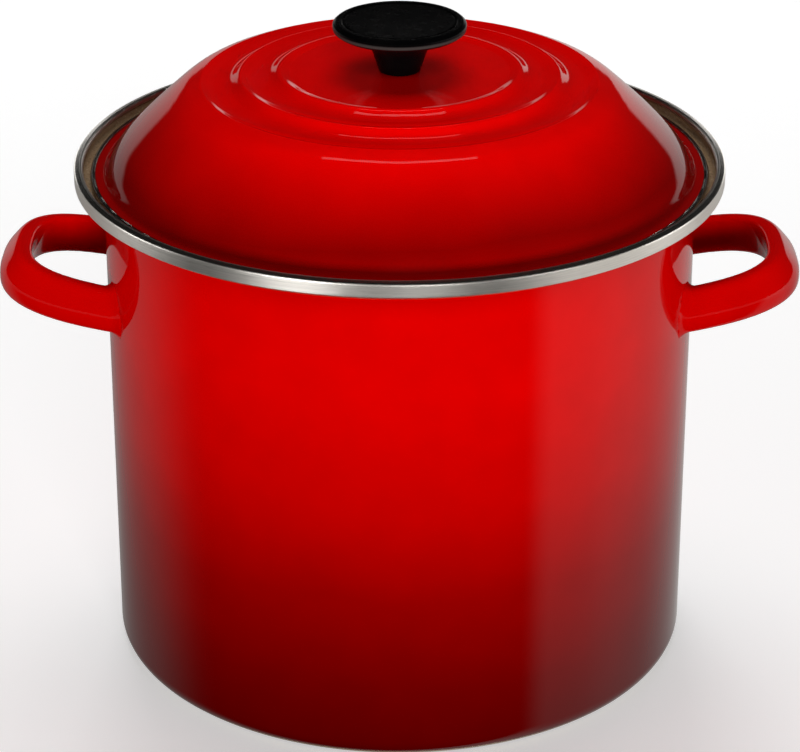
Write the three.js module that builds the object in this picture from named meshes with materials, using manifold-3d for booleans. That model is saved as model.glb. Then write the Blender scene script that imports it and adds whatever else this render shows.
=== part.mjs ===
// Enamelled steel stock pot with a lift-off lid, two loop handles and a moulded knob.
//
// Frame: millimetres, +Z up, origin on the floor at the centre of the base, handles on the X axis.
// Pieces that nest round the pot are turned about the Z axis with the same number of facets, so their
// walls stay parallel and keep the clearance that the constants ask for.

import * as THREE from 'three';
import { mergeVertices } from 'three/addons/utils/BufferGeometryUtils.js';
import Module from 'manifold-3d';

const wasm = await Module();
wasm.setup();

// ---- Driving dimensions -------------------------------------------------------------------------

const FACETS = 48; // facets round the pot, the lid and their steel bands
const SMALL_FACETS = 24; // facets round the knob and its hardware
const GAP = 0.3; // clearance between neighbouring pieces

// Pot body: one deep-drawn vessel with a flared lip that carries the lid.
const BODY_RADIUS = 113; // outside of the straight wall
const WALL = 1.5; // enamelled sheet, steel and both coats
const FLOOR = 2; // top of the base inside
const BASE_CORNER = 7; // outside corner radius at the base
const FOOT_RING = 84; // the base is pressed up inside this radius
const BASE_RECESS = 0.6; // how far it is pressed up
const SEAT_HEIGHT = 193.7; // top of the ledge that the lid rests on
const SEAT_SHEET = 1.3; // sheet thickness in the flare
const FLARE_BEND = 2; // bend radius at both ends of the ledge
const LIP_RADIUS = 122.8; // outside of the upright lip
const LIP_TOP = 198.8; // top edge of the lip, inside the steel band

// Stainless band rolled over the lip.
const RIM_RADIUS = 123.9;
const RIM_INSIDE = 120.4;
const RIM_TOP = 199.7;
const RIM_BOTTOM = 193.8;
const RIM_LEG_BOTTOM = 197.6; // the leg inside the pot is short
const RIM_SHEET = 0.6;
const RIM_BEND = 1.2;

// Lid: a pressed dome with ring steps and a flat flange.
const FLANGE_TOP = 195.7;
const LID_SHEET = 1;
const LID_STEPS = 20; // straight steps along the curved part, two to each span between its points
const LID_EDGE = 116.8; // cut edge of the flange
const DOME_FOOT = point(112.6, FLANGE_TOP);
const DOME = [point(110.2, 197.8), point(105.2, 204.3), point(97.3, 212.8), point(86.2, 222.6)];
const OUTER_CREST = point(75.2, 230.3); // the three rings are sharp crests with hollows between them
const OUTER_HOLLOW = point(69.5, 229.2);
const MIDDLE_CREST = point(60.3, 233);
const INNER_HOLLOW = point(54, 231.9);
const INNER_CREST = point(45.2, 234.7);
const LID_CENTRE = 233.6; // height of the flat that carries the knob
const CENTRE_FLAT = 42; // radius of that flat
const SCREW_HOLE = 3.2; // radius of the hole for the knob's screw

// Stainless bead rolled over the lid's edge.
const BEAD_OUTSIDE = 117.8;
const BEAD_INSIDE = 115.8;
const BEAD_TOP = 196.4;
const BEAD_SLOT = 1.3; // depth of the slot that grips the flange

// Knob and the hardware that holds it.
const KNOB_RADIUS = 25.2;
const KNOB_TOP = 253.3;
const KNOB_EDGE = 4.4; // thickness of the disc at its edge
const KNOB_DISH = 0.5; // the top is dished inside its rim
const STEM_FOOT_RADIUS = 7.8;
const STEM_TOP_RADIUS = 11;
const STEM_LENGTH = 9;
const STEM_FLARE = 3; // the stem's top flares out into the disc by this much, at 45 degrees
const INSERT_RADIUS = 4.4;
const INSERT_LENGTH = 10;
const SCREW_RADIUS = 2.4;
const SCREW_ENGAGEMENT = 8; // length of screw inside the insert
const SCREW_HEAD_RADIUS = 4.6;
const SCREW_HEAD = 3;
const SCREW_HEAD_CROWN = 1.4; // size of the bevel that rounds the head
const SCREW_POINT = 0.6; // bevel at the screw's end
const DRIVE_SLOT = 1; // width of the cross recess
const DRIVE_SPAN = 5; // from end to end of each slot of the cross
const DRIVE_DEPTH = 1.6;
const FLAT_WASHER_RADIUS = 7;
const FLAT_WASHER = 1;
const LOCK_WASHER_RADIUS = 4.5;
const LOCK_WASHER = 1.2;
const LOCK_WASHER_SPLIT = 0.8;

// Handles: a thick loop that reaches out and slightly up. Its two ends stand square on the wall.
const LOOP_ROOT = 105.6; // distance from the pot's axis to the ends of the loop's outline
const LOOP_REACH = 44.2; // from there to the middle of its outer side
const LOOP_HALF_WIDTH = 36.8;
const LOOP_POWER = 2.8; // superellipse exponent of the outline
const LOOP_OVERRUN = 1.06; // the sweep covers a little more than half of it, to reach into the wall
const LOOP_STEPS = 24;
const LOOP_ROOT_LEVEL = 149.9; // height of the centre line at its ends
const LOOP_RISE = 9.1; // how much higher its outer side is
const LOOP_HEIGHT = 16.2;
const LOOP_SECTION = [
  point(-4.4, -LOOP_HEIGHT / 2), // outwards from the centre line, and up
  point(3, -LOOP_HEIGHT / 2),
  point(4.4, -1.4), // a soft ridge along the outer side
  point(-1.2, LOOP_HEIGHT / 2),
  point(-6.3, LOOP_HEIGHT / 2),
];
const LOOP_ROUNDING = 0.4; // share of each side that a corner's rounding takes up
const LOOP_THICKENING = 4.4; // extra metal inside the outer side of the loop, at its lower edge
const LOOP_TOP_THICKENING = 1.5; // the same at its upper edge

// ---- Materials ----------------------------------------------------------------------------------

const redEnamel = new THREE.MeshStandardMaterial({ color: 0xc40404, roughness: 0.12, metalness: 0 });
const stainless = new THREE.MeshStandardMaterial({ color: 0xb4b0a6, roughness: 0.32, metalness: 1 });
const phenolic = new THREE.MeshStandardMaterial({ color: 0x0d0d0f, roughness: 0.42, metalness: 0 });
const brass = new THREE.MeshStandardMaterial({ color: 0xb08d45, roughness: 0.35, metalness: 1 });
const screwSteel = new THREE.MeshStandardMaterial({ color: 0xa9aaa8, roughness: 0.3, metalness: 1 });

// ---- Geometry helpers ---------------------------------------------------------------------------

function point(radius, height) {
  return new THREE.Vector2(radius, height);
}

// Points on an arc in the (radius, height) plane, both ends included; angles in degrees.
function arc(centreRadius, centreHeight, bend, from, to, steps) {
  const points = [];
  for (let step = 0; step <= steps; step += 1) {
    const angle = THREE.MathUtils.degToRad(from + ((to - from) * step) / steps);
    points.push(point(centreRadius + bend * Math.cos(angle), centreHeight + bend * Math.sin(angle)));
  }
  return points;
}

// A profile turned about the Z axis. It runs counter-clockwise, with the radius to the right and the
// height up, and either starts and ends on the axis or is closed here.
function turn(profile, facets) {
  const closed = profile[0].x === 0 ? profile : [...profile, profile[0].clone()];
  return new THREE.LatheGeometry(closed, facets).rotateX(Math.PI / 2);
}

// The same polyline moved sideways by a distance, to the right of its direction of travel.
function offset(points, distance) {
  return points.map((here, index) => {
    const before = points[Math.max(index - 1, 0)];
    const after = points[Math.min(index + 1, points.length - 1)];
    const along = after.clone().sub(before).normalize();
    return point(here.x + along.y * distance, here.y - along.x * distance);
  });
}

function toManifold(geometry) {
  const bare = geometry.clone();
  bare.deleteAttribute('normal');
  bare.deleteAttribute('uv');
  const merged = mergeVertices(bare, 1e-4);
  const mesh = new wasm.Mesh({
    numProp: 3,
    vertProperties: new Float32Array(merged.attributes.position.array),
    triVerts: new Uint32Array(merged.index.array),
  });
  return new wasm.Manifold(mesh);
}

function fromManifold(solid) {
  const mesh = solid.getMesh();
  const geometry = new THREE.BufferGeometry();
  geometry.setAttribute('position', new THREE.BufferAttribute(new Float32Array(mesh.vertProperties), 3));
  geometry.setIndex(new THREE.BufferAttribute(new Uint32Array(mesh.triVerts), 1));
  geometry.computeVertexNormals();
  return geometry;
}

function box(width, depth, height, x, y, z) {
  return new THREE.BoxGeometry(width, depth, height).translate(x, y, z);
}

function piece(name, geometry, material) {
  const mesh = new THREE.Mesh(geometry, material);
  mesh.name = name;
  return mesh;
}

// ---- Pot ----------------------------------------------------------------------------------------

function potBody() {
  const inside = BODY_RADIUS - WALL;
  const innerCorner = BASE_CORNER - WALL;
  const ledgeUnder = SEAT_HEIGHT - SEAT_SHEET;
  const lipInside = LIP_RADIUS - SEAT_SHEET;
  return turn(
    [
      point(0, BASE_RECESS),
      point(FOOT_RING - BASE_RECESS, BASE_RECESS),
      point(FOOT_RING + BASE_RECESS, 0),
      ...arc(BODY_RADIUS - BASE_CORNER, BASE_CORNER, BASE_CORNER, -90, 0, 4),
      ...arc(BODY_RADIUS + FLARE_BEND, ledgeUnder - FLARE_BEND, FLARE_BEND, 180, 90, 2),
      ...arc(LIP_RADIUS - FLARE_BEND, ledgeUnder + FLARE_BEND, FLARE_BEND, -90, 0, 2),
      point(LIP_RADIUS, LIP_TOP),
      point(lipInside, LIP_TOP),
      ...arc(lipInside - FLARE_BEND / 2, SEAT_HEIGHT + FLARE_BEND / 2, FLARE_BEND / 2, 0, -90, 2),
      ...arc(inside + FLARE_BEND, SEAT_HEIGHT - FLARE_BEND, FLARE_BEND, 90, 180, 2),
      ...arc(inside - innerCorner, FLOOR + innerCorner, innerCorner, 0, -90, 4),
      point(0, FLOOR),
    ],
    FACETS,
  );
}

// An upside-down U over the lip: a long leg outside, a short leg inside.
function rimBand() {
  const crown = RIM_TOP - RIM_SHEET;
  return turn(
    [
      point(RIM_RADIUS - RIM_SHEET, RIM_BOTTOM),
      point(RIM_RADIUS, RIM_BOTTOM),
      ...arc(RIM_RADIUS - RIM_BEND, RIM_TOP - RIM_BEND, RIM_BEND, 0, 90, 3),
      ...arc(RIM_INSIDE + RIM_BEND, RIM_TOP - RIM_BEND, RIM_BEND, 90, 180, 3),
      point(RIM_INSIDE, RIM_LEG_BOTTOM),
      point(RIM_INSIDE + RIM_SHEET, RIM_LEG_BOTTOM),
      point(RIM_INSIDE + RIM_SHEET, crown - RIM_SHEET),
      point(RIM_INSIDE + RIM_BEND, crown),
      point(RIM_RADIUS - RIM_BEND, crown),
      point(RIM_RADIUS - RIM_SHEET, crown - RIM_SHEET),
    ],
    FACETS,
  );
}

// ---- Handles ------------------------------------------------------------------------------------

// The loop's centre line from one end to the other, as a superellipse in a plane that rises outwards.
class LoopCurve extends THREE.Curve {
  getPoint(t, target = new THREE.Vector3()) {
    const angle = Math.PI * (t - 0.5) * LOOP_OVERRUN;
    const bulge = (value) => Math.sign(value) * Math.abs(value) ** (2 / LOOP_POWER);
    const reach = bulge(Math.cos(angle));
    return target.set(
      LOOP_ROOT + LOOP_REACH * reach,
      LOOP_HALF_WIDTH * bulge(Math.sin(angle)),
      LOOP_ROOT_LEVEL + LOOP_RISE * reach,
    );
  }
}

// The section with its corners rounded. The sweep turns its second axis down, so heights are negated.
function loopSection() {
  const corners = LOOP_SECTION.map((corner) => point(corner.x, -corner.y));
  const shape = new THREE.Shape();
  corners.forEach((corner, index) => {
    const before = corners.at(index - 1);
    const after = corners[(index + 1) % corners.length];
    const start = corner.clone().lerp(before, LOOP_ROUNDING);
    const end = corner.clone().lerp(after, LOOP_ROUNDING);
    if (index === 0) {
      shape.moveTo(start.x, start.y);
    } else {
      shape.lineTo(start.x, start.y);
    }
    shape.quadraticCurveTo(corner.x, corner.y, end.x, end.y);
  });
  shape.closePath();
  return shape;
}

// Thickens the outer side of the loop on the inside, more at its lower edge than at its upper edge.
function thickenEnd(loop) {
  const position = loop.attributes.position;
  for (let index = 0; index < position.count; index += 1) {
    const reach = Math.max((position.getX(index) - LOOP_ROOT) / LOOP_REACH, 0);
    const side = Math.abs(position.getY(index)) / LOOP_HALF_WIDTH;
    if (reach ** LOOP_POWER + side ** LOOP_POWER < 1) {
      const height = position.getZ(index) - LOOP_ROOT_LEVEL - LOOP_RISE * reach;
      const upper = THREE.MathUtils.clamp(height / LOOP_HEIGHT + 0.5, 0, 1);
      const extra = THREE.MathUtils.lerp(LOOP_THICKENING, LOOP_TOP_THICKENING, upper);
      position.setX(index, position.getX(index) - extra * reach ** 3);
    }
  }
  return loop;
}

// One handle, built on the +X side and cut to stand just off the pot's wall.
function handleGeometry() {
  const loop = new THREE.ExtrudeGeometry(loopSection(), {
    steps: LOOP_STEPS,
    curveSegments: 3,
    extrudePath: new LoopCurve(),
  });
  const seat = BODY_RADIUS + GAP;
  const wall = new THREE.CylinderGeometry(seat, seat, BODY_RADIUS, FACETS);
  wall.rotateX(Math.PI / 2).translate(0, 0, LOOP_ROOT_LEVEL);
  return fromManifold(toManifold(thickenEnd(loop)).subtract(toManifold(wall)));
}

// ---- Lid ----------------------------------------------------------------------------------------

// Outer surface of the lid from the screw hole to the edge of the flange.
function lidSurface() {
  const sweep = new THREE.SplineCurve([
    point(CENTRE_FLAT, LID_CENTRE),
    INNER_CREST,
    INNER_HOLLOW,
    MIDDLE_CREST,
    OUTER_HOLLOW,
    OUTER_CREST,
    ...DOME.toReversed(),
    DOME_FOOT,
  ]);
  return [
    point(SCREW_HOLE, LID_CENTRE),
    ...sweep.getPoints(LID_STEPS),
    point(LID_EDGE, FLANGE_TOP),
  ];
}

function lidShell() {
  const outside = lidSurface();
  const underside = offset(outside, LID_SHEET);
  return turn([...underside, ...outside.toReversed()], FACETS);
}

// A flattened C that grips the flange from outside.
function lidBand() {
  const bottom = SEAT_HEIGHT + GAP;
  const slotTop = FLANGE_TOP + GAP;
  const slotBottom = FLANGE_TOP - LID_SHEET - GAP;
  const bend = (BEAD_TOP - bottom) / 2;
  return turn(
    [
      point(BEAD_INSIDE, bottom),
      ...arc(BEAD_OUTSIDE - bend, bottom + bend, bend, -90, 90, 5),
      point(BEAD_INSIDE, BEAD_TOP),
      point(BEAD_INSIDE, slotTop),
      point(BEAD_INSIDE + BEAD_SLOT, slotTop),
      point(BEAD_INSIDE + BEAD_SLOT, slotBottom),
      point(BEAD_INSIDE, slotBottom),
    ],
    FACETS,
  );
}

// ---- Knob and its hardware ----------------------------------------------------------------------

const KNOB_BASE = LID_CENTRE + GAP;

function knob() {
  const bore = INSERT_RADIUS + GAP;
  const boreTop = KNOB_BASE + INSERT_LENGTH + GAP;
  const edgeRadius = KNOB_EDGE / 2;
  return turn(
    [
      point(0, boreTop),
      point(bore, boreTop),
      point(bore, KNOB_BASE),
      point(STEM_FOOT_RADIUS, KNOB_BASE),
      point(STEM_TOP_RADIUS, KNOB_BASE + STEM_LENGTH),
      point(STEM_TOP_RADIUS + STEM_FLARE, KNOB_BASE + STEM_LENGTH + STEM_FLARE),
      ...arc(KNOB_RADIUS - edgeRadius, KNOB_TOP - edgeRadius, edgeRadius, -75, 90, 5),
      point(KNOB_RADIUS - 2 * edgeRadius, KNOB_TOP - KNOB_DISH),
      point(0, KNOB_TOP - KNOB_DISH),
    ],
    SMALL_FACETS,
  );
}

function knobInsert() {
  const bore = SCREW_RADIUS + GAP;
  const boreTop = KNOB_BASE + SCREW_ENGAGEMENT + GAP;
  const top = KNOB_BASE + INSERT_LENGTH;
  return turn(
    [
      point(0, boreTop),
      point(bore, boreTop),
      point(bore, KNOB_BASE),
      point(INSERT_RADIUS, KNOB_BASE),
      point(INSERT_RADIUS, top),
      point(0, top),
    ],
    SMALL_FACETS,
  );
}

const FLAT_WASHER_TOP = LID_CENTRE - LID_SHEET - GAP;
const LOCK_WASHER_TOP = FLAT_WASHER_TOP - FLAT_WASHER - GAP;
const SCREW_HEAD_TOP = LOCK_WASHER_TOP - LOCK_WASHER - GAP;

function ring(outer, top, thickness) {
  const inner = SCREW_RADIUS + GAP;
  return turn(
    [
      point(inner, top - thickness),
      point(outer, top - thickness),
      point(outer, top),
      point(inner, top),
    ],
    SMALL_FACETS,
  );
}

function lockWasher() {
  const split = box(
    2 * LOCK_WASHER_RADIUS,
    LOCK_WASHER_SPLIT,
    3 * LOCK_WASHER,
    LOCK_WASHER_RADIUS,
    0,
    LOCK_WASHER_TOP - LOCK_WASHER / 2,
  );
  const whole = toManifold(ring(LOCK_WASHER_RADIUS, LOCK_WASHER_TOP, LOCK_WASHER));
  return fromManifold(whole.subtract(toManifold(split)));
}

// Pan-head screw, head down, with a cross recess.
function knobScrew() {
  const headBottom = SCREW_HEAD_TOP - SCREW_HEAD;
  const screwTop = KNOB_BASE + SCREW_ENGAGEMENT;
  const blank = turn(
    [
      point(0, headBottom),
      point(SCREW_HEAD_RADIUS - SCREW_HEAD_CROWN, headBottom),
      point(SCREW_HEAD_RADIUS, headBottom + SCREW_HEAD_CROWN),
      point(SCREW_HEAD_RADIUS, SCREW_HEAD_TOP),
      point(SCREW_RADIUS, SCREW_HEAD_TOP),
      point(SCREW_RADIUS, screwTop - SCREW_POINT),
      point(SCREW_RADIUS - SCREW_POINT, screwTop),
      point(0, screwTop),
    ],
    SMALL_FACETS,
  );
  const recess = [
    box(DRIVE_SPAN, DRIVE_SLOT, 2 * DRIVE_DEPTH, 0, 0, headBottom),
    box(DRIVE_SLOT, DRIVE_SPAN, 2 * DRIVE_DEPTH, 0, 0, headBottom),
  ];
  return fromManifold(
    recess.reduce((solid, slot) => solid.subtract(toManifold(slot)), toManifold(blank)),
  );
}

// ---- Assembly -----------------------------------------------------------------------------------

const pot = new THREE.Group();
pot.add(piece('pot_body', potBody(), redEnamel));
pot.add(piece('pot_rim_band', rimBand(), stainless));

for (const [name, turnAngle] of [['right_handle', 0], ['left_handle', Math.PI]]) {
  const handle = piece(name, handleGeometry(), redEnamel);
  handle.rotation.z = turnAngle;
  pot.add(handle);
}

const lid = new THREE.Group();
lid.add(piece('lid_shell', lidShell(), redEnamel));
lid.add(piece('lid_rim_band', lidBand(), stainless));
lid.add(piece('knob', knob(), phenolic));
lid.add(piece('knob_insert', knobInsert(), brass));
lid.add(piece('knob_flat_washer', ring(FLAT_WASHER_RADIUS, FLAT_WASHER_TOP, FLAT_WASHER), screwSteel));
lid.add(piece('knob_lock_washer', lockWasher(), screwSteel));
lid.add(piece('knob_screw', knobScrew(), screwSteel));

const stockPot = new THREE.Group();
stockPot.add(pot, lid);

export default stockPot;
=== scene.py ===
"""Stock pot: the finished look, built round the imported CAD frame.

Every piece is a fine mesh made here. Its lengths are in millimetres and are turned into metres when
the mesh is made. The heights and outer radii of the turned pieces are read from the frame's nodes.
The stage, the lights and the camera are in metres.
"""

import math

import bpy
import numpy as np
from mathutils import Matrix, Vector


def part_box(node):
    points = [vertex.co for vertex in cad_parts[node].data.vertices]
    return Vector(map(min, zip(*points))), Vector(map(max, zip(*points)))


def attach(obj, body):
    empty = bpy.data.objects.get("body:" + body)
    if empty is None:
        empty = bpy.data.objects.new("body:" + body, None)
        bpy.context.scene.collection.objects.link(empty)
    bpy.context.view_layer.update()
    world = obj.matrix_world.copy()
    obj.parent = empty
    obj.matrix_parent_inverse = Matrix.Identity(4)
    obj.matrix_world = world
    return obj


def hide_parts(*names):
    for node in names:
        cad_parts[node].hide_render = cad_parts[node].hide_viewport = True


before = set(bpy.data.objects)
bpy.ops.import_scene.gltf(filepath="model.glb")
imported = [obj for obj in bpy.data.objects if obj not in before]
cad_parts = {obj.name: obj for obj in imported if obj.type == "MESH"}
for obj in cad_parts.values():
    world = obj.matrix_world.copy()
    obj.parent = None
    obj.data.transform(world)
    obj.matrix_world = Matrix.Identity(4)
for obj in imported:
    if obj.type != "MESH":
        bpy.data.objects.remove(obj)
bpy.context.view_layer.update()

SCENE = bpy.context.scene
MM = 0.001


def extent(node):
    """(outer radius, bottom, top) of a round CAD node, in millimetres."""
    low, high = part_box(node)
    return (high.y - low.y) / 2 / MM, low.z / MM, high.z / MM


# ---- Sizes ---------------------------------------------------------------------------------------

LIP_RADIUS, _, LIP_TOP = extent("pot_body")
RIM_RADIUS, RIM_BOTTOM, RIM_TOP = extent("pot_rim_band")
LID_EDGE, _, LID_TOP = extent("lid_shell")
BEAD_RADIUS, BEAD_BOTTOM, BEAD_TOP = extent("lid_rim_band")
KNOB_RADIUS, KNOB_BASE, KNOB_TOP = extent("knob")
WASHER_RADIUS, WASHER_BOTTOM, WASHER_TOP = extent("knob_flat_washer")
LOCK_RADIUS, LOCK_BOTTOM, LOCK_TOP = extent("knob_lock_washer")
SCREW_RADIUS, SCREW_BOTTOM, SCREW_TOP = extent("knob_screw")
INSERT_RADIUS, INSERT_BOTTOM, INSERT_TOP = extent("knob_insert")

SEAT_PLAY = 0.3
BODY_RADIUS = 113.0
WALL = 1.5
FLOOR = 2.0
BASE_CORNER = 7.0
FOOT_RING = 84.0
BASE_RECESS = 0.6
SEAT_HEIGHT = BEAD_BOTTOM - SEAT_PLAY
LIP_SHEET = 1.3
RIM_INSIDE = 120.4
RIM_LEG = 2.1
FLANGE_TOP = BEAD_TOP - 0.7
LID_SHEET = 1.0
LID_CENTRE = KNOB_BASE - SEAT_PLAY
BEAD_INSIDE = 115.8
LID_HOLE = 3.2
SHANK_HOLE = 2.7

# Steps round a full turn.
LARGE_ROUND = 320
KNOB_ROUND = 192
WASHER_ROUND = 96
SMALL_ROUND = 64


# ---- Profiles and turned meshes ------------------------------------------------------------------

# Degrees in one step of a bend, and the length of the guard step beside it.
ARC_STEP = 9
GUARD = 0.35


def rounded(corners, closed=False):
    """A path through (radius, height, bend) corners, each bend an arc, with short guard steps
    beside the arcs so that flat stretches stay flat when they are shaded smooth."""
    points = []
    count = len(corners)
    for index, (radius, height, bend) in enumerate(corners):
        here = np.array((radius, height))
        inner = closed or 0 < index < count - 1
        if not inner or bend == 0:
            points.append(here)
            continue
        before = np.array(corners[index - 1][:2]) - here
        after = np.array(corners[(index + 1) % count][:2]) - here
        before /= np.linalg.norm(before)
        after /= np.linalg.norm(after)
        half = math.acos(np.clip(before @ after, -1, 1)) / 2
        run = bend / math.tan(half)
        bisector = (before + after) / np.linalg.norm(before + after)
        centre = here + bisector * bend / math.sin(half)
        start = here + before * run - centre
        end = here + after * run - centre
        sweep = math.pi - 2 * half
        steps = max(2, math.ceil(math.degrees(sweep) / ARC_STEP))
        guard = min(GUARD, bend)
        points.append(here + before * (run + guard))
        for step in range(steps + 1):
            t = step / steps
            mixed = (start * math.sin((1 - t) * sweep) + end * math.sin(t * sweep)) / math.sin(sweep)
            points.append(centre + mixed)
        points.append(here + after * (run + guard))
    return points


def spline(points, steps):
    """Catmull-Rom curve through (radius, height) points, both ends included."""
    path = [np.array(p, float) for p in points]
    path = [2 * path[0] - path[1], *path, 2 * path[-1] - path[-2]]
    curve = []
    for i in range(1, len(path) - 2):
        a, b, c, d = path[i - 1 : i + 3]
        square = a - 2.5 * b + 2 * c - d / 2
        cube = 1.5 * (b - c) + (d - a) / 2
        for t in np.linspace(0, 1, steps, endpoint=False):
            curve.append(b + (c - a) * t / 2 + square * t**2 + cube * t**3)
    return [*curve, path[-2]]


def offset(points, distance):
    """The same path moved to the right of its direction of travel."""
    path = np.array(points)
    along = np.gradient(path, axis=0)
    along /= np.linalg.norm(along, axis=1)[:, None]
    return [*(path + np.stack((along[:, 1], -along[:, 0]), axis=1) * distance)]


def make_mesh(name, vertices, faces, materials, numbers=None):
    """A smooth-shaded mesh object. numbers holds the place of each face's material in the list."""
    mesh = bpy.data.meshes.new(name)
    mesh.from_pydata([tuple(v) for v in vertices], [], faces)
    for material in materials:
        mesh.materials.append(material)
    if numbers is not None:
        mesh.polygons.foreach_set("material_index", numbers)
    mesh.polygons.foreach_set("use_smooth", [True] * len(mesh.polygons))
    mesh.update()
    piece = bpy.data.objects.new(name, mesh)
    SCENE.collection.objects.link(piece)
    return piece


def turned(name, profile, materials, segments, pick=None):
    """Turns a profile about the Z axis. The profile runs counter-clockwise, radius to the right; it
    starts and ends on the axis, or closes on itself. pick(radius, height) chooses the material of
    each band."""
    profile = np.array(profile)
    on_axis = profile[0][0] == 0
    angles = np.arange(segments) * 2 * math.pi / segments
    ring_of, vertices = [], []
    for radius, height in profile:
        ring_of.append(len(vertices))
        if radius == 0:
            vertices.append((0, 0, height * MM))
        else:
            ring = radius * MM
            vertices += [(ring * math.cos(a), ring * math.sin(a), height * MM) for a in angles]
    faces, numbers = [], []
    count = len(profile)
    for i in range(count - 1 if on_axis else count):
        j = (i + 1) % count
        low, high = ring_of[i], ring_of[j]
        for k in range(segments):
            n = (k + 1) % segments
            if profile[i][0] == 0:
                faces.append((low, high + n, high + k))
            elif profile[j][0] == 0:
                faces.append((low + k, low + n, high))
            else:
                faces.append((low + k, low + n, high + n, high + k))
        middle = (profile[i] + profile[j]) / 2
        chosen = pick(*middle) if pick else materials[0]
        numbers += [materials.index(chosen)] * segments
    return make_mesh(name, vertices, faces, materials, numbers)


def place(piece, body, slot_name, *nodes):
    """Puts a piece on its body, in the place of its CAD nodes. slot_name is not used."""
    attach(piece, body)
    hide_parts(*nodes)
    return piece


# ---- Material helpers ----------------------------------------------------------------------------

class Nodes:
    """A small wrapper that builds a Principled material's node tree."""

    def __init__(self, name, **sockets):
        self.material = bpy.data.materials.new(name)
        self.material.use_nodes = True
        self.tree = self.material.node_tree
        self.shader = self.tree.nodes["Principled BSDF"]
        for socket, value in sockets.items():
            self.shader.inputs[socket.replace("_", " ")].default_value = value
        self.coords = self.add("ShaderNodeTexCoord").outputs["Object"]

    def add(self, kind, **attributes):
        node = self.tree.nodes.new(kind)
        for key, value in attributes.items():
            setattr(node, key, value)
        return node

    def link(self, source, target):
        self.tree.links.new(source, target)

    def noise(self, scale, detail, roughness=0.5, vector=None):
        node = self.add("ShaderNodeTexNoise")
        node.inputs["Scale"].default_value = scale
        node.inputs["Detail"].default_value = detail
        node.inputs["Roughness"].default_value = roughness
        self.link(vector or self.coords, node.inputs["Vector"])
        return node.outputs["Fac"]

    def ramp(self, value, *stops):
        """Colours by value, in an eased fade between two stops or straight fades between more."""
        node = self.add("ShaderNodeValToRGB")
        node.color_ramp.interpolation = "EASE" if len(stops) == 2 else "LINEAR"
        while len(node.color_ramp.elements) < len(stops):
            node.color_ramp.elements.new(0.5)
        for element, (position, colour) in zip(node.color_ramp.elements, stops):
            element.position = position
            element.color = (*colour, 1)
        self.link(value, node.inputs["Fac"])
        return node.outputs["Color"]

    def span(self, value, low, high, to_low=0.0, to_high=1.0):
        node = self.add("ShaderNodeMapRange")
        names = "From Min", "From Max", "To Min", "To Max"
        for name, number in zip(names, (low, high, to_low, to_high)):
            node.inputs[name].default_value = number
        self.link(value, node.inputs["Value"])
        return node.outputs["Result"]

    def split(self):
        node = self.add("ShaderNodeSeparateXYZ")
        self.link(self.coords, node.inputs[0])
        return node.outputs

    def join(self, *parts):
        node = self.add("ShaderNodeCombineXYZ")
        for socket, part in zip(node.inputs, parts):
            self.link(part, socket)
        return node.outputs[0]

    def math(self, operation, a, b=None):
        node = self.add("ShaderNodeMath", operation=operation)
        for socket, value in zip(node.inputs, (a, b)):
            if isinstance(value, (int, float)):
                socket.default_value = value
            elif value is not None:
                self.link(value, socket)
        return node.outputs[0]

    def mix(self, factor, a, b, blend="MIX"):
        node = self.add("ShaderNodeMix", data_type="RGBA", blend_type=blend)
        for socket, value in zip((node.inputs[0], node.inputs[6], node.inputs[7]), (factor, a, b)):
            if isinstance(value, tuple):
                socket.default_value = (*value, 1)
            elif isinstance(value, (int, float)):
                socket.default_value = value
            else:
                self.link(value, socket)
        return node.outputs[2]

    def bump(self, height, distance, strength):
        node = self.add("ShaderNodeBump")
        node.inputs["Distance"].default_value = distance
        node.inputs["Strength"].default_value = strength
        self.link(height, node.inputs["Height"])
        self.link(node.outputs["Normal"], self.shader.inputs["Normal"])

    def set(self, socket, value):
        self.link(value, self.shader.inputs[socket])

    def radius(self):
        x, y, _ = self.split()
        square = self.math("ADD", self.math("MULTIPLY", x, x), self.math("MULTIPLY", y, y))
        return self.math("SQRT", square)

    def uneven(self, scale, detail, low, high):
        """Noise, spread over the range from low to high."""
        return self.span(self.noise(scale, detail), 0.3, 0.7, low, high)

    def shade(self, colour, tone):
        """A colour made lighter and darker by a tone round 1."""
        return self.mix(1.0, colour, self.join(tone, tone, tone), "MULTIPLY")


# The red of each coat: how far up the fade, and how bright there.
BRIGHT_RED = 0.66
BODY_SHADES = ((0.0, 0.077), (0.2, 0.137), (0.45, 0.258), (0.7, 0.489), (1.0, BRIGHT_RED))
# The lid's lowest stops are lighter again: painted light on the dome's foot, which lies in the rim's
# shade. Its top stop is lighter than the body's brightest red: painted light that makes up for a dim
# top lamp.
LID_SHADES_AND_PAINTED_LIGHT = ((0.0, 0.3), (0.13, 0.27), (0.3, 0.226), (0.65, 0.475), (1.0, 0.74))
HANDLE_SHADES = ((0.0, 0.56), (1.0, 0.7))


def red_enamel(name, dark_height, bright_height, shades):
    """Glassy enamel, sprayed darker towards the bottom of the piece in a fade that wanders a little.
    The lid's shades also hold painted light: lighter at the dome's foot, where the rim shades it, and
    at its top.
    """
    m = Nodes(name, Roughness=0.1, Specular_IOR_Level=0.2)
    wander = 3.0 * MM
    height = m.math("ADD", m.split()[2], m.uneven(9.0, 2.0, -wander, wander))
    fade = m.span(height, dark_height * MM, bright_height * MM)
    graded = m.ramp(fade, *((position, (red, 0.0, 0.0)) for position, red in shades))
    m.set("Base Color", m.shade(graded, m.uneven(60.0, 4.0, 0.96, 1.04)))
    m.set("Roughness", m.uneven(35.0, 3.0, 0.025, 0.06))
    m.bump(m.noise(420.0, 2.0), 0.03 * MM, 0.25)
    return m.material


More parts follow.
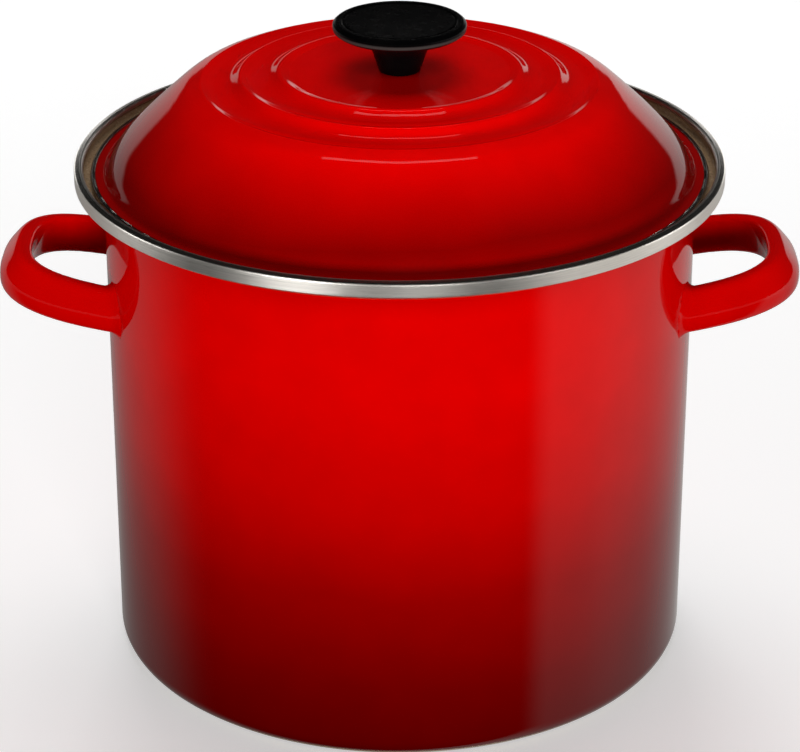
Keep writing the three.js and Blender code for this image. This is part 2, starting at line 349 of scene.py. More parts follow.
def tan_enamel():
    """The cooking side: sand-coloured enamel with fine dark and light flecks."""
    m = Nodes("tan_enamel", Roughness=0.16, Specular_IOR_Level=0.3)
    sand, pale_sand = (0.28, 0.18, 0.1), (0.32, 0.21, 0.12)
    dark_fleck, light_fleck = (0.15, 0.09, 0.048), (0.48, 0.36, 0.24)
    base = m.mix(m.uneven(25.0, 3.0, 0.0, 1.0), sand, pale_sand)
    speckled = m.mix(m.span(m.noise(1500.0, 1.0), 0.6, 0.68), base, dark_fleck)
    m.set("Base Color", m.mix(m.span(m.noise(1150.0, 1.0), 0.63, 0.7), speckled, light_fleck))
    m.set("Roughness", m.uneven(45.0, 3.0, 0.12, 0.22))
    m.bump(m.noise(380.0, 2.0), 0.03 * MM, 0.3)
    return m.material


def base_enamel():
    """The underside: near-black ground coat, worn grey on the ring that the pot stands on."""
    m = Nodes("base_enamel", Roughness=0.35, IOR=1.5)
    near_black, grey_fleck, worn = (0.02, 0.016, 0.016), (0.16, 0.15, 0.15), (0.13, 0.12, 0.115)
    smooth_coat, rough_coat = (0.2, 0.2, 0.2), (0.5, 0.5, 0.5)
    radius = m.radius()
    past_step = m.span(radius, (FOOT_RING - 0.2) * MM, (FOOT_RING + 2.2) * MM)
    before_bend = m.span(radius, (BODY_RADIUS - 4.5) * MM, (BODY_RADIUS - 8) * MM)
    scuffs = m.span(m.noise(700.0, 6.0, 0.7), 0.5, 0.62)
    wear = m.math("MULTIPLY", m.math("MULTIPLY", past_step, before_bend), scuffs)
    ground = m.mix(m.span(m.noise(1300.0, 1.0), 0.64, 0.7), near_black, grey_fleck)
    m.set("Base Color", m.mix(wear, ground, worn))
    m.set("Roughness", m.mix(wear, smooth_coat, rough_coat))
    m.bump(m.noise(500.0, 4.0), 0.06 * MM, 0.5)
    return m.material


def brushed(name, colour, low, high):
    """Stainless steel brushed round its circumference: the grain is fine across it and slow along it.
    Its roughness goes from low to high."""
    m = Nodes(name, Metallic=1.0, Roughness=low, Anisotropic=0.6, Anisotropic_Rotation=0.25)
    fine, slow = 2600.0, 25.0
    x, y, z = m.split()
    wavy_radius = m.math("ADD", m.radius(), m.span(m.noise(40.0, 2.0), 0.0, 1.0, 0.0, 2.0 * MM))
    across = m.join(m.math("MULTIPLY", wavy_radius, fine), m.math("MULTIPLY", z, fine),
                    m.math("MULTIPLY", m.math("ADD", x, y), slow))
    lines = m.noise(1.0, 5.0, 0.65, across)
    tone = m.span(lines, 0.3, 0.7, 0.86, 1.08)
    m.set("Base Color", m.shade(colour, m.math("MULTIPLY", tone, m.uneven(30.0, 3.0, 0.94, 1.04))))
    m.set("Roughness", m.span(lines, 0.3, 0.7, low, high))
    tangent = m.add("ShaderNodeTangent", direction_type="RADIAL", axis="Z")
    m.link(tangent.outputs[0], m.shader.inputs["Tangent"])
    m.bump(lines, 0.012 * MM, 0.6)
    return m.material


def phenolic():
    """Moulded black phenolic: satin and finely textured, with a thin pale grey band painted round its
    edge as a highlight.
    """
    m = Nodes("phenolic", Roughness=0.35, Specular_IOR_Level=0.06)
    deep_black, worn_black = (0.0015, 0.0015, 0.0017), (0.0035, 0.003, 0.003)
    # A pale grey, painted on the knob's edge as a highlight.
    highlight_grey = (0.055, 0.05, 0.047)
    black = m.mix(m.span(m.noise(90.0, 5.0, 0.6), 0.45, 0.75), deep_black, worn_black)
    height = m.split()[2]
    at_edge = m.span(m.radius(), (KNOB_RADIUS - 1.6) * MM, (KNOB_RADIUS - 0.2) * MM)
    below_face = m.span(height, (KNOB_TOP - 1.9) * MM, (KNOB_TOP - 2.5) * MM)
    above_back = m.span(height, (KNOB_TOP - 3.7) * MM, (KNOB_TOP - 3.1) * MM)
    # Painted highlight: a thin band round the side of the disc, a little below its face.
    painted_highlight = m.math("MULTIPLY", at_edge, m.math("MULTIPLY", below_face, above_back))
    m.set("Base Color", m.mix(painted_highlight, black, highlight_grey))
    m.set("Roughness", m.uneven(260.0, 4.0, 0.2, 0.3))
    m.bump(m.noise(1900.0, 3.0), 0.04 * MM, 0.5)
    return m.material


def small_metal(name, colour, low, high):
    """Plain metal of the small hardware, a little dull in patches. Its roughness goes from low to
    high."""
    m = Nodes(name, Metallic=1.0, Roughness=low)
    m.set("Base Color", m.shade(colour, m.uneven(300.0, 5.0, 0.82, 1.05)))
    m.set("Roughness", m.uneven(900.0, 4.0, low, high))
    m.bump(m.noise(1600.0, 3.0), 0.01 * MM, 0.5)
    return m.material


BODY_FADE_TOP = 150.0
LID_FADE_BOTTOM, LID_FADE_TOP = FLANGE_TOP - 3, LID_CENTRE - 6
HANDLE_FADE_BOTTOM, HANDLE_FADE_TOP = 135.0, 168.0

BODY_RED = red_enamel("body_enamel", 0.0, BODY_FADE_TOP, BODY_SHADES)
LID_RED = red_enamel("lid_enamel", LID_FADE_BOTTOM, LID_FADE_TOP, LID_SHADES_AND_PAINTED_LIGHT)
HANDLE_RED = red_enamel("handle_enamel", HANDLE_FADE_BOTTOM, HANDLE_FADE_TOP, HANDLE_SHADES)
TAN = tan_enamel()
UNDERSIDE = base_enamel()
RIM_STEEL = brushed("rim_steel", (0.70, 0.67, 0.62), 0.34, 0.44)
BEAD_STEEL = brushed("bead_steel", (0.66, 0.63, 0.58), 0.18, 0.26)
PHENOLIC = phenolic()
BRASS = small_metal("insert_brass", (0.69, 0.52, 0.24), 0.25, 0.4)
SCREW_STEEL = small_metal("screw_stainless", (0.62, 0.62, 0.61), 0.2, 0.34)


# ---- Pot body and its rim band -------------------------------------------------------------------

def pot_body():
    """Deep-drawn vessel: a pressed base, a straight wall and a stepped lip that carries the lid."""
    inside = BODY_RADIUS - WALL
    under = SEAT_HEIGHT - LIP_SHEET
    lip_inside = LIP_RADIUS - LIP_SHEET
    profile = [
        (0, BASE_RECESS),
        *rounded([
            (0.5, BASE_RECESS, 0),
            (FOOT_RING - 1, BASE_RECESS, 1.2),
            (FOOT_RING + 1.4, 0, 1.2),
            (BODY_RADIUS, 0, BASE_CORNER),
            (BODY_RADIUS, under, 2.0),
            (LIP_RADIUS, under, 2.0),
            (LIP_RADIUS, LIP_TOP, 0.3),
            (lip_inside, LIP_TOP, 0.3),
            (lip_inside, SEAT_HEIGHT, 1.2),
            (inside, SEAT_HEIGHT, 2.0),
            (inside, FLOOR, BASE_CORNER - WALL),
            (0.5, FLOOR, 0),
        ]),
        (0, FLOOR),
    ]
    middle_of_lip = LIP_RADIUS - LIP_SHEET / 2

    def coat(radius, height):
        """Underside, then cooking side with the top of the lid's seat, then the red outside."""
        if height < FLOOR - 0.5 and radius < BODY_RADIUS - BASE_CORNER + 1:
            return UNDERSIDE
        on_seat = height > SEAT_HEIGHT - 0.9 and radius < middle_of_lip
        cooking_side = radius < inside + 0.3 or on_seat
        return TAN if cooking_side and height > FLOOR / 2 else BODY_RED

    piece = turned("enamelled_body", profile, [BODY_RED, TAN, UNDERSIDE], LARGE_ROUND, coat)
    return place(piece, "pot", "red_enamel", "pot_body")


def rim_band():
    """An upside-down U over the lip. Its crown slopes down outwards and is polished near the
    shoulder, its face is brushed, and its hem is rolled under."""
    sheet = 0.6
    leg = RIM_TOP - RIM_LEG
    shoulder = RIM_TOP - 0.55
    profile = rounded([
        (RIM_RADIUS - 0.9, RIM_BOTTOM, 0.25),
        (RIM_RADIUS, RIM_BOTTOM, 0.4),
        (RIM_RADIUS, shoulder, 0.9),
        (RIM_INSIDE + 0.7, RIM_TOP, 0.8),
        (RIM_INSIDE, RIM_TOP - 0.8, 0.5),
        (RIM_INSIDE, leg, 0.25),
        (RIM_INSIDE + sheet, leg, 0.25),
        (RIM_INSIDE + sheet, RIM_TOP - 0.9, 0.3),
        (RIM_RADIUS - sheet, shoulder - sheet, 0.5),
        (RIM_RADIUS - sheet, RIM_BOTTOM + 0.9, 0.25),
        (RIM_RADIUS - 0.9, RIM_BOTTOM + 0.7, 0.1),
    ], closed=True)

    def finish(radius, height):
        polished = RIM_INSIDE + 1.5 < radius < RIM_RADIUS - 0.3
        return BEAD_STEEL if polished and height > shoulder - 0.25 else RIM_STEEL

    piece = turned("steel_rim_band", profile, [RIM_STEEL, BEAD_STEEL], LARGE_ROUND, finish)
    return place(piece, "pot", "stainless_trim", "pot_rim_band")


# ---- Lid -----------------------------------------------------------------------------------------

def lid_surface():
    """Outer surface from the screw hole to the cut edge of the flange. Each stretch of the pressed
    part is a few (radius, height above the middle of the lid) points on one smooth curve."""
    middle = (36.0, 0.0), (41.0, 0.0), (42.2, 0.15)
    inner_crest = (44.4, 0.9), (45.2, 1.05), (46.2, 0.75), (47.4, -0.1)
    inner_valley = (49.1, -1.1), (51.2, -1.65), (54.0, -1.75), (57.0, -1.4)
    second_crest = (59.2, -0.8), (60.3, -0.6), (61.1, -1.1), (62.3, -2.2)
    outer_valley = (64.2, -3.6), (66.5, -4.3), (69.5, -4.45), (72.5, -4.05)
    outer_crest = (74.3, -3.5), (75.2, -3.3), (76.2, -3.6), (78.0, -4.3)
    shoulder = (80.6, -5.5), (83.1, -7.15), (85.4, -9.0), (87.6, -10.95)
    side = (93.3, -16.25), (99.4, -22.05), (105.2, -27.9), (109.2, -32.8), (111.3, -36.1)
    pressed = (*middle, *inner_crest, *inner_valley, *second_crest, *outer_valley, *outer_crest,
               *shoulder, *side)
    rings = spline([
        *((radius, LID_CENTRE + rise) for radius, rise in pressed),
        (112.8, FLANGE_TOP + 0.12),
        (114.2, FLANGE_TOP),
    ], steps=4)
    hole = LID_HOLE, LID_HOLE + 0.3, LID_HOLE + 1
    centre = [np.array((radius, LID_CENTRE)) for radius in hole]
    edge = [np.array((radius, FLANGE_TOP)) for radius in (LID_EDGE - 0.4, LID_EDGE)]
    return [*centre, *rings, *edge]


def lid_shell():
    """Pressed dome of one sheet, red outside and tan inside."""
    outside = lid_surface()
    underside = offset(outside, LID_SHEET)
    underside[0][0] = outside[0][0]
    underside[-1][0] = outside[-1][0]
    profile = [*underside, *outside[::-1]]
    skin = np.array(outside)

    def coat(radius, height):
        surface = np.interp(radius, skin[:, 0], skin[:, 1])
        return TAN if height < surface - LID_SHEET / 2 else LID_RED

    piece = turned("enamelled_lid", profile, [LID_RED, TAN], LARGE_ROUND, coat)
    return place(piece, "lid", "red_enamel", "lid_shell")


def lid_bead():
    """Round steel bead with a slot on its inner side, which holds the edge of the flange."""
    play = 0.25
    slot_top = FLANGE_TOP + play
    slot_bottom = FLANGE_TOP - LID_SHEET - play
    slot_end = BEAD_INSIDE + 1.3
    bend = (BEAD_TOP - BEAD_BOTTOM) / 2 - 0.1
    profile = rounded([
        (BEAD_INSIDE, BEAD_BOTTOM, 0.2),
        (BEAD_RADIUS, BEAD_BOTTOM, bend),
        (BEAD_RADIUS, BEAD_TOP, bend),
        (BEAD_INSIDE, BEAD_TOP, 0.35),
        (BEAD_INSIDE, slot_top, 0.08),
        (slot_end, slot_top, 0),
        (slot_end, slot_bottom, 0),
        (BEAD_INSIDE, slot_bottom, 0.08),
    ], closed=True)
    piece = turned("steel_lid_bead", profile, [BEAD_STEEL], LARGE_ROUND)
    return place(piece, "lid", "stainless_trim", "lid_rim_band")


# ---- Knob and hardware ---------------------------------------------------------------------------

def knob():
    """A disc on a flared stem, with a shallow groove near the disc's edge and a dished face."""
    bore = INSERT_RADIUS + 0.2
    bore_top = INSERT_TOP + 0.2
    disc_bottom = KNOB_TOP - 4.4
    dish = KNOB_TOP - 0.45
    profile = [
        (0, bore_top),
        *rounded([
            (0.3, bore_top, 0),
            (bore, bore_top, 0.3),
            (bore, KNOB_BASE, 0.3),
            (7.8, KNOB_BASE, 0.5),
            (10.6, KNOB_BASE + 8.6, 6.0),
            (16.5, disc_bottom - 0.6, 6.0),
            (23.6, disc_bottom, 0.6),
            (KNOB_RADIUS, disc_bottom + 1.2, 0.9),
            (KNOB_RADIUS, KNOB_TOP - 1.1, 0.8),
            (KNOB_RADIUS - 1.3, KNOB_TOP, 1.0),
            (21.9, KNOB_TOP, 0.5),
            (21.3, KNOB_TOP - 0.55, 0.3),
            (20.7, KNOB_TOP - 0.15, 0.3),
            (12.0, KNOB_TOP - 0.3, 8.0),
            (0.3, dish, 0),
        ]),
        (0, dish),
    ]
    piece = turned("moulded_knob", profile, [PHENOLIC], KNOB_ROUND)
    return place(piece, "lid", "phenolic", "knob")


def insert():
    """Brass bush with a blind bore, open at the bottom."""
    bore = SHANK_HOLE
    bore_top = INSERT_TOP - 1.7
    profile = [
        (0, bore_top),
        *rounded([
            (0.2, bore_top, 0),
            (bore, bore_top, 0.2),
            (bore, INSERT_BOTTOM, 0.3),
            (INSERT_RADIUS, INSERT_BOTTOM, 0.3),
            (INSERT_RADIUS, INSERT_TOP, 0.3),
            (0.2, INSERT_TOP, 0),
        ]),
        (0, INSERT_TOP),
    ]
    piece = turned("brass_insert", profile, [BRASS], SMALL_ROUND)
    return place(piece, "lid", "brass_insert", "knob_insert")


def flat_washer():
    profile = rounded([
        (SHANK_HOLE, WASHER_BOTTOM, 0.12),
        (WASHER_RADIUS, WASHER_BOTTOM, 0.3),
        (WASHER_RADIUS, WASHER_TOP, 0.15),
        (SHANK_HOLE, WASHER_TOP, 0.1),
    ], closed=True)
    piece = turned("flat_washer", profile, [SCREW_STEEL], WASHER_ROUND)
    return place(piece, "lid", "screw_steel", "knob_flat_washer")


def lock_washer():
    """A square-section ring, split on the +X side, with its ends a little out of level."""
    inner, outer = SHANK_HOLE + 0.05, LOCK_RADIUS - 0.05
    bottom, top = LOCK_BOTTOM + 0.08, LOCK_TOP - 0.12
    bend = 0.15
    section = np.array(rounded([
        (inner, bottom, bend),
        (outer, bottom, bend),
        (outer, top, bend),
        (inner, top, bend),
    ], closed=True))
    steps = 84
    split_angle = 0.12
    climb = 0.12
    vertices, faces = [], []
    for i in range(steps + 1):
        t = i / steps
        angle = split_angle + (2 * math.pi - 2 * split_angle) * t
        lift = climb * (t - 0.5)
        for radius, height in section:
            ring = radius * MM
            vertices.append((ring * math.cos(angle), ring * math.sin(angle), (height + lift) * MM))
    size = len(section)
    for i in range(steps):
        for k in range(size):
            n = (k + 1) % size
            a, b = i * size, (i + 1) * size
            faces.append((a + k, a + n, b + n, b + k))
    faces.append(tuple(reversed(range(size))))
    faces.append(tuple(range(steps * size, (steps + 1) * size)))
    piece = make_mesh("lock_washer", vertices, faces, [SCREW_STEEL])
    return place(piece, "lid", "screw_steel", "knob_lock_washer")


def cut_cross(piece, bottom):
    """Cuts a cross recess in the bottom of a screw's head."""
    length, width, depth = 5.4, 1.05, 1.6
    cutters = []
    for turn in (0, math.pi / 2):
        bpy.ops.mesh.primitive_cube_add(size=1, location=(0, 0, bottom * MM))
        cutter = bpy.context.object
        cutter.scale = (length * MM, width * MM, 2 * depth * MM)
        cutter.rotation_euler.z = turn
        cut = piece.modifiers.new("cross", "BOOLEAN")
        cut.operation = "DIFFERENCE"
        cut.solver = "EXACT"
        cut.object = cutter
        cutters.append(cutter)
    bpy.context.view_layer.update()
    graph = bpy.context.evaluated_depsgraph_get()
    cut_mesh = bpy.data.meshes.new_from_object(piece.evaluated_get(graph))
    piece.modifiers.clear()
    piece.data = cut_mesh
    for cutter in cutters:
        bpy.data.objects.remove(cutter)


def screw():
    """Pan-head machine screw, head down, with a cross recess in the head."""
    head_top = LOCK_BOTTOM - 0.3
    tip = SCREW_TOP
    pitch = 0.8
    crest, root = 2.4, 2.0
    thread = []
    height = head_top + 2.5
    last = tip - 1.5
    while height < last:
        thread += [
            (root, height, 0),
            (crest, height + pitch * 0.45, 0),
            (crest, height + pitch * 0.55, 0),
        ]
        height += pitch
    profile = [
        (0, SCREW_BOTTOM),
        *rounded([
            (0.2, SCREW_BOTTOM, 0),
            (SCREW_RADIUS - 0.6, SCREW_BOTTOM + 0.25, 1.6),
            (SCREW_RADIUS, SCREW_BOTTOM + 2.0, 1.0),
            (SCREW_RADIUS, head_top, 0.15),
            (crest, head_top, 0.1),
            *thread,
            (root, tip - 0.6, 0),
            (root - 0.5, tip, 0),
            (0.2, tip, 0),
        ]),
        (0, tip),
    ]
    piece = turned("pan_head_screw", profile, [SCREW_STEEL], SMALL_ROUND)
    cut_cross(piece, SCREW_BOTTOM)
    return place(piece, "lid", "screw_steel", "knob_screw")


# ---- Handles -------------------------------------------------------------------------------------

# The loop's centre line, and its section as (outwards, height) corners about that line.
LOOP_ROOT = 105.6
LOOP_REACH = 44.2
LOOP_HALF_WIDTH = 36.8
LOOP_POWER = 2.8
LOOP_OVERRUN = 1.06
LOOP_ROOT_LEVEL = 149.9
LOOP_RISE = 9.1
LOOP_HEIGHT = 16.2
LOOP_SECTION = (
    (-4.4, -LOOP_HEIGHT / 2), (3.0, -LOOP_HEIGHT / 2), (4.4, -1.4),
    (-1.2, LOOP_HEIGHT / 2), (-6.3, LOOP_HEIGHT / 2),
)
LOOP_THICKENING = 4.4
LOOP_TOP_THICKENING = 1.5
LOOP_SOFTNESS = 0.95
FILLET_SPREAD = 1.5
FILLET_HEIGHT = 3.2
FILLET_LIMIT = 1.3
WALL_OVERLAP = 0.9

# How finely the loop is worked out: points on its line, grid pitches, and parts of the grid.
LINE_POINTS = 181
FINE_PITCH, QUICK_PITCH = 0.9, 1.6
GRID_BATCHES = 24


def bulge(value):
    """Turns a circle's cosine or sine into the superellipse's."""
    return np.sign(value) * np.abs(value) ** (2 / LOOP_POWER)


def loop_line():
    """Centre line of the loop, a superellipse in a plane that rises outwards."""
    angle = np.linspace(-math.pi / 2, math.pi / 2, LINE_POINTS) * LOOP_OVERRUN
    reach = bulge(np.cos(angle))
    return np.stack((
        LOOP_ROOT + LOOP_REACH * reach,
        LOOP_HALF_WIDTH * bulge(np.sin(angle)),
        LOOP_ROOT_LEVEL + LOOP_RISE * reach,
    ), axis=1)


def loop_place(points):
    """Distance outwards from the centre line, height above it, and reach from 0 at the wall to 1."""
    line = loop_line()
    upright = np.array((-LOOP_RISE, 0, LOOP_REACH)) / math.hypot(LOOP_RISE, LOOP_REACH)
    flat = points - np.outer(points @ upright, upright)
    flat_line = line - np.outer(line @ upright, upright)
    best = np.full(len(points), np.inf)
    for start, step in zip(flat_line[:-1], np.diff(flat_line, axis=0)):
        t = np.clip((flat - start) @ step / (step @ step), 0, 1)
        best = np.minimum(best, np.linalg.norm(flat - start - t[:, None] * step, axis=1))
    height = points @ upright - line[0] @ upright
    level = points - np.outer(height, upright)
    reach = np.clip((level[:, 0] - LOOP_ROOT) / LOOP_REACH, 0, None)
    side = np.abs(level[:, 1]) / LOOP_HALF_WIDTH
    outwards = np.where(reach**LOOP_POWER + side**LOOP_POWER < 1, -best, best)
    return outwards, height, np.minimum(reach, 1)


def loop_distance(points):
    """Distance to the loop's surface, negative inside: a soft maximum over the sides of its section,
    whose inner side moves in towards the outer end of the loop."""
    across, height, reach = loop_place(points)
    corners = np.array(LOOP_SECTION)
    largest = 60
    total = np.zeros(len(points))
    for index, corner in enumerate(corners):
        along = corners[(index + 1) % len(corners)] - corner
        along /= np.linalg.norm(along)
        side = (across - corner[0]) * along[1] - (height - corner[1]) * along[0]
        if index == len(corners) - 1:
            upper = np.clip(height / LOOP_HEIGHT + 0.5, 0, 1)
            thickening = LOOP_THICKENING + (LOOP_TOP_THICKENING - LOOP_THICKENING) * upper
            side = side - thickening * reach**3
        total += np.exp(np.clip(side / LOOP_SOFTNESS, -largest, largest))
    return np.log(total) * LOOP_SOFTNESS


def handle_distance(points):
    """The loop with a weld fillet where its ends meet the wall, cut off just inside the wall."""
    above_wall = np.hypot(points[:, 0], points[:, 1]) - BODY_RADIUS
    fillet = FILLET_SPREAD * np.clip(1 - above_wall / FILLET_HEIGHT, 0, FILLET_LIMIT) ** 2
    return np.maximum(loop_distance(points) - fillet, -WALL_OVERLAP - above_wall)


def cell_points(value, low, pitch):
    """One vertex in each grid cell that the surface crosses, at the middle of the crossings on the
    cell's edges, and the vertex number of each cell."""
    size = tuple(n - 1 for n in value.shape)
    total = np.zeros((*size, 3))
    crossings = np.zeros(size)

    def at_corner(corner):
        return value[tuple(slice(o, n + o) for o, n in zip(corner, size))]

    for a in ((i, j, k) for i in (0, 1) for j in (0, 1) for k in (0, 1)):
        for axis in range(3):
            if a[axis]:
                continue
            b = tuple(o + (d == axis) for d, o in enumerate(a))
            value_a, value_b = at_corner(a), at_corner(b)
            cross = (value_a < 0) != (value_b < 0)
            t = np.where(cross, value_a / np.where(cross, value_a - value_b, 1), 0)
            spot = np.zeros((*size, 3))
            for d in range(3):
                spot[..., d] = a[d] + (t if d == axis else 0)
            total += spot * cross[..., None]
            crossings += cross
    active = crossings > 0
    number = np.full(size, -1)
    number[active] = np.arange(active.sum())
    middle = total[active] / crossings[active][:, None]
    return (np.argwhere(active) + middle) * pitch + np.array(low), number


def cell_quads(inside, number):
    """One quad for each grid edge that the surface crosses, through the four cells round the edge."""
    limit = np.array(number.shape)
    faces = []
    for axis in range(3):
        d1, d2 = [d for d in range(3) if d != axis]
        before = [slice(None)] * 3
        after = [slice(None)] * 3
        before[axis], after[axis] = slice(0, -1), slice(1, None)
        spots = np.argwhere(inside[tuple(before)] != inside[tuple(after)])
        spots = spots[(spots[:, d1] > 0) & (spots[:, d2] > 0)]
        spots = spots[(spots[:, d1] < limit[d1]) & (spots[:, d2] < limit[d2])]
        quad = []
        for o1, o2 in ((0, 0), (-1, 0), (-1, -1), (0, -1)):
            at = spots.copy()
            at[:, d1] += o1
            at[:, d2] += o2
            quad.append(number[tuple(at.T)])
        quad = np.stack(quad, axis=1)
        outward = inside[tuple(spots.T)]
        if axis == 1:
            outward = ~outward
        quad[~outward] = quad[~outward][:, ::-1]
        faces.append(quad)
    return np.concatenate(faces)


def surface_net(distance, low, high, pitch):
    """Vertices and quads of the surface where distance is zero, on a grid of that pitch."""
    axes = [np.arange(a, b + pitch, pitch) for a, b in zip(low, high)]
    grid = np.stack(np.meshgrid(*axes, indexing="ij"), axis=-1).reshape(-1, 3)
    value = np.concatenate([distance(part) for part in np.array_split(grid, GRID_BATCHES)])
    value = value.reshape([len(a) for a in axes])
    vertices, number = cell_points(value, low, pitch)
    return vertices, cell_quads(value < 0, number)


def on_surface(distance, vertices):
    """Moves vertices on to the zero of distance along its gradient, by half a millimetre at most in
    each of three rounds."""
    reach, limit, flattest = 0.05, 0.5, 0.25
    for _ in range(3):
        value = distance(vertices)
        steps = np.eye(3) * reach
        slope = np.stack([(distance(vertices + step) - value) / reach for step in steps], axis=1)
        size = np.maximum((slope**2).sum(axis=1), flattest)
        vertices = vertices - slope * np.clip(value / size, -limit, limit)[:, None]
    return vertices


def handles():
    """Both handles from one mesh. The left one is the right one, turned half round the pot."""
    pitch = FINE_PITCH
    margin = LOOP_HEIGHT / 2 + FILLET_SPREAD + 3
    tip, tip_level = LOOP_ROOT + LOOP_REACH, LOOP_ROOT_LEVEL + LOOP_RISE
    low = (LOOP_ROOT - 10, -LOOP_HALF_WIDTH - margin, LOOP_ROOT_LEVEL - margin)
    high = (tip + 8, LOOP_HALF_WIDTH + margin, tip_level + margin)
    vertices, faces = surface_net(handle_distance, low, high, pitch)
    vertices = on_surface(handle_distance, vertices)
    quads = [tuple(int(i) for i in face) for face in faces]
    sides = ("right_loop_handle", "right_handle", 1), ("left_loop_handle", "left_handle", -1)
    for name, node, sign in sides:
        placed = vertices * MM * np.array((sign, sign, 1))
        piece = make_mesh(name, placed, quads, [HANDLE_RED])
        place(piece, "pot", "red_enamel", node)


pot_body()
rim_band()
handles()
lid_shell()
lid_bead()
knob()
insert()
flat_washer()
lock_washer()
screw()


# ---- Stage, light and camera ---------------------------------------------------------------------

BACKDROP_RADIUS = 9.0
TABLE_RADIUS = 3.0
TABLE_FADE = 0.35, 1.1
TABLE_GLOW = 0.45

# Lamps that only the steel bands reflect: angle from straight in front, to the right, and watts.
STEEL_LIGHTS = (-155, 3), (-95, 9), (-33, 26), (8, 10), (48, 6), (100, 8), (155, 3)
STEEL_LIGHT_DISTANCE = 2.3
STEEL_LIGHT_HEIGHT = 0.35

# Each strip over the lid is turned this far, so that the two make a shallow V.
STRIP_SWEEP = math.radians(18)

CAMERA_PLACE = 0.00014, -1.08152, 0.61289
CAMERA_TILT = 25.0955
CAMERA_LENS = 136.13


def white_glow():
    """An even white that needs no lamp."""
    material = bpy.data.materials.new("backdrop_white")
    material.use_nodes = True
    tree = material.node_tree
    tree.nodes.clear()
    light = tree.nodes.new("ShaderNodeEmission")
    light.inputs["Color"].default_value = (1, 1, 1, 1)
    light.inputs["Strength"].default_value = 1.0
    output = tree.nodes.new("ShaderNodeOutputMaterial")
    tree.links.new(light.outputs[0], output.inputs["Surface"])
    return material


def backdrop():
    """A white surround that only the camera sees."""
    bpy.ops.mesh.primitive_uv_sphere_add(segments=48, ring_count=24, radius=BACKDROP_RADIUS)
    dome = bpy.context.object
    dome.name = "backdrop"
    dome.data.materials.append(white_glow())
    for ray in ("diffuse", "glossy", "transmission", "volume_scatter", "shadow"):
        setattr(dome, "visible_" + ray, False)


def floor():
    """A pale table top that fades into the backdrop. It takes the pot's soft shadow, and neither
    shows in the pot nor lights it."""
    just_below = (0, 0, -0.0002)
    bpy.ops.mesh.primitive_circle_add(
        vertices=128, radius=TABLE_RADIUS, fill_type="NGON", location=just_below,
    )
    top = bpy.context.object
    top.name = "table_top"
    material = bpy.data.materials.new("table_white")
    material.use_nodes = True
    tree = material.node_tree
    shader = tree.nodes["Principled BSDF"]
    shader.inputs["Base Color"].default_value = (0.9, 0.9, 0.9, 1)
    shader.inputs["Roughness"].default_value = 1.0
    shader.inputs["Specular IOR Level"].default_value = 0.0
    shader.inputs["Emission Color"].default_value = (1, 1, 1, 1)
    shader.inputs["Emission Strength"].default_value = TABLE_GLOW
    clear = tree.nodes.new("ShaderNodeBsdfTransparent")
    mix = tree.nodes.new("ShaderNodeMixShader")
    coords = tree.nodes.new("ShaderNodeTexCoord")
    length = tree.nodes.new("ShaderNodeVectorMath")
    length.operation = "LENGTH"
    fade = tree.nodes.new("ShaderNodeMapRange")
    fade.interpolation_type = "SMOOTHSTEP"
    for socket, distance in zip(("From Min", "From Max"), TABLE_FADE):
        fade.inputs[socket].default_value = distance
    tree.links.new(coords.outputs["Object"], length.inputs[0])
    tree.links.new(length.outputs["Value"], fade.inputs["Value"])
    tree.links.new(fade.outputs["Result"], mix.inputs[0])
    tree.links.new(shader.outputs[0], mix.inputs[1])
    tree.links.new(clear.outputs[0], mix.inputs[2])
    tree.links.new(mix.outputs[0], tree.nodes["Material Output"].inputs["Surface"])
    top.data.materials.append(material)
    top.visible_glossy = False
    top.visible_diffuse = False


def surround_light():
    """Soft studio surround that only reflections see: a bright table behind and beside the pot, which
    reaches further forward on the right, a dim band low in front, and dark above the horizon."""
    world = bpy.data.worlds.new("studio")
    SCENE.world = world
    world.use_nodes = True
    tree = world.node_tree
    ground = tree.nodes["Background"]
    coords = tree.nodes.new("ShaderNodeTexCoord")

    def math_node(operation, a, b=None):
        node = tree.nodes.new("ShaderNodeMath")
        node.operation = operation
        for socket, value in zip(node.inputs, (a, b)):
            if isinstance(value, (int, float)):
                socket.default_value = value
            elif value is not None:
                tree.links.new(value, socket)
        return node.outputs[0]

    def smooth(value, low, high, to_low, to_high):
        node = tree.nodes.new("ShaderNodeMapRange")
        node.interpolation_type = "SMOOTHSTEP"
        names = "From Min", "From Max", "To Min", "To Max"
        for name, number in zip(names, (low, high, to_low, to_high)):
            node.inputs[name].default_value = number
        tree.links.new(value, node.inputs["Value"])
        return node.outputs["Result"]

    def times(a, b):
        return math_node("MULTIPLY", a, b)

    split = tree.nodes.new("ShaderNodeSeparateXYZ")
    tree.links.new(coords.outputs["Generated"], split.inputs[0])
    x, y, z = split.outputs
    level = math_node("SQRT", math_node("ADD", times(x, x), times(y, y)))
    level = math_node("MAXIMUM", level, 0.05)
    ahead = math_node("DIVIDE", times(y, -1.0), level)
    both_sides = smooth(ahead, -0.5, 0.2, 0.33, 0.0)
    right_side = times(smooth(ahead, -0.5, 0.1, 0.24, 0.72), smooth(ahead, 0.45, 0.66, 1.0, 0.0))
    right_side = times(right_side, smooth(x, -0.05, 0.05, 0.0, 1.0))
    table = math_node("ADD", both_sides, right_side)
    table = times(table, smooth(z, -0.4, 0.05, 0.9, 1.45))
    front_band = times(smooth(z, -0.16, -0.04, 0.0, 0.4), smooth(ahead, -0.3, 0.3, 0.0, 1.0))
    table = math_node("ADD", table, front_band)
    below_horizon = smooth(z, 0.08, 0.125, 1.0, 0.02)
    tree.links.new(times(table, below_horizon), ground.inputs["Strength"])
    ground.inputs["Color"].default_value = (1, 0.98, 0.95, 1)
    world.cycles_visibility.diffuse = False


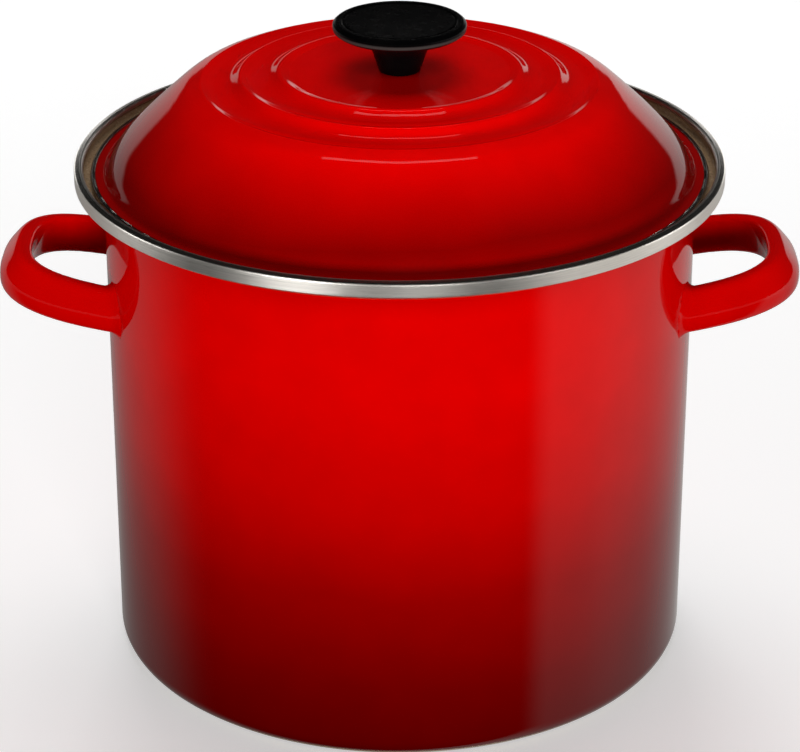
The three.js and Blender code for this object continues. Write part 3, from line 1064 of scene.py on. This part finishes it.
def area(name, place_at, target, size, power, glossy=True):
    """A rectangular lamp that faces the target and that the camera doesn't see."""
    data = bpy.data.lights.new(name, "AREA")
    data.shape = "RECTANGLE"
    data.size, data.size_y = size
    data.energy = power
    lamp = bpy.data.objects.new(name, data)
    lamp.location = place_at
    lamp.rotation_euler = (Vector(target) - Vector(place_at)).to_track_quat("-Z", "Y").to_euler()
    lamp.visible_glossy = glossy
    lamp.visible_camera = False
    SCENE.collection.objects.link(lamp)
    return lamp


def lit_only(lamp, *names):
    """Makes a lamp light the named pieces and nothing else."""
    group = bpy.data.collections.new(lamp.name + "_pieces")
    for name in names:
        group.objects.link(bpy.data.objects[name])
    lamp.light_linking.receiver_collection = group


def round_the_pot(degrees, distance, height):
    """A place at that angle from straight in front, positive to the right."""
    angle = math.radians(degrees)
    return distance * math.sin(angle), -distance * math.cos(angle), height


def lights():
    """Soft boxes that light without showing in the gloss, and lamps and strips that show in it."""
    front, above = (0, 0, 0.11), (0, 0, LID_TOP * MM)
    area("front_softbox", (0.27, -2.27, 0.28), front, (0.8, 0.5), 44, glossy=False)
    area("top_softbox", (0, 0.75, 1.7), above, (1.3, 1.3), 14, glossy=False)
    area("rear_softbox", (-0.3, 2.2, 0.75), front, (1.0, 0.6), 16, glossy=False)
    lid_fill = area("lid_fill", (0.2, -1.6, 1.5), above, (0.8, 0.8), 12, glossy=False)
    lit_only(lid_fill, "enamelled_lid", "enamelled_body")
    for side, power in ((-1, 18), (1, 9)):
        lamp = area("side_softbox", (side * 2.2, 0.2, 0.5), front, (0.8, 0.8), power, glossy=False)
        lit_only(lamp, "enamelled_body", "right_loop_handle", "left_loop_handle")
    for degrees, power in STEEL_LIGHTS:
        spot = round_the_pot(degrees, STEEL_LIGHT_DISTANCE, STEEL_LIGHT_HEIGHT)
        lamp = area("steel_light", spot, front, (0.9, 0.7), power)
        lit_only(lamp, "steel_rim_band", "steel_lid_bead")
    for side in (-1, 1):
        strip = area("top_strip", (side * 0.23, 0.125, 1.63), above, (0.5, 0.14), 0.6)
        strip.rotation_euler = (0, 0, side * STRIP_SWEEP)
        lit_only(strip, "enamelled_lid")


def camera():
    """A long lens in front of the pot that looks down on it by about 25 degrees."""
    data = bpy.data.cameras.new("camera")
    data.sensor_width = 36
    data.lens = CAMERA_LENS
    data.clip_start, data.clip_end = 0.05, 40
    view = bpy.data.objects.new("camera", data)
    view.location = CAMERA_PLACE
    view.rotation_euler = (math.radians(90 - CAMERA_TILT), 0, 0)
    SCENE.collection.objects.link(view)
    SCENE.camera = view


backdrop()
floor()
surround_light()
lights()
camera()
SCENE.view_settings.view_transform = "Standard"
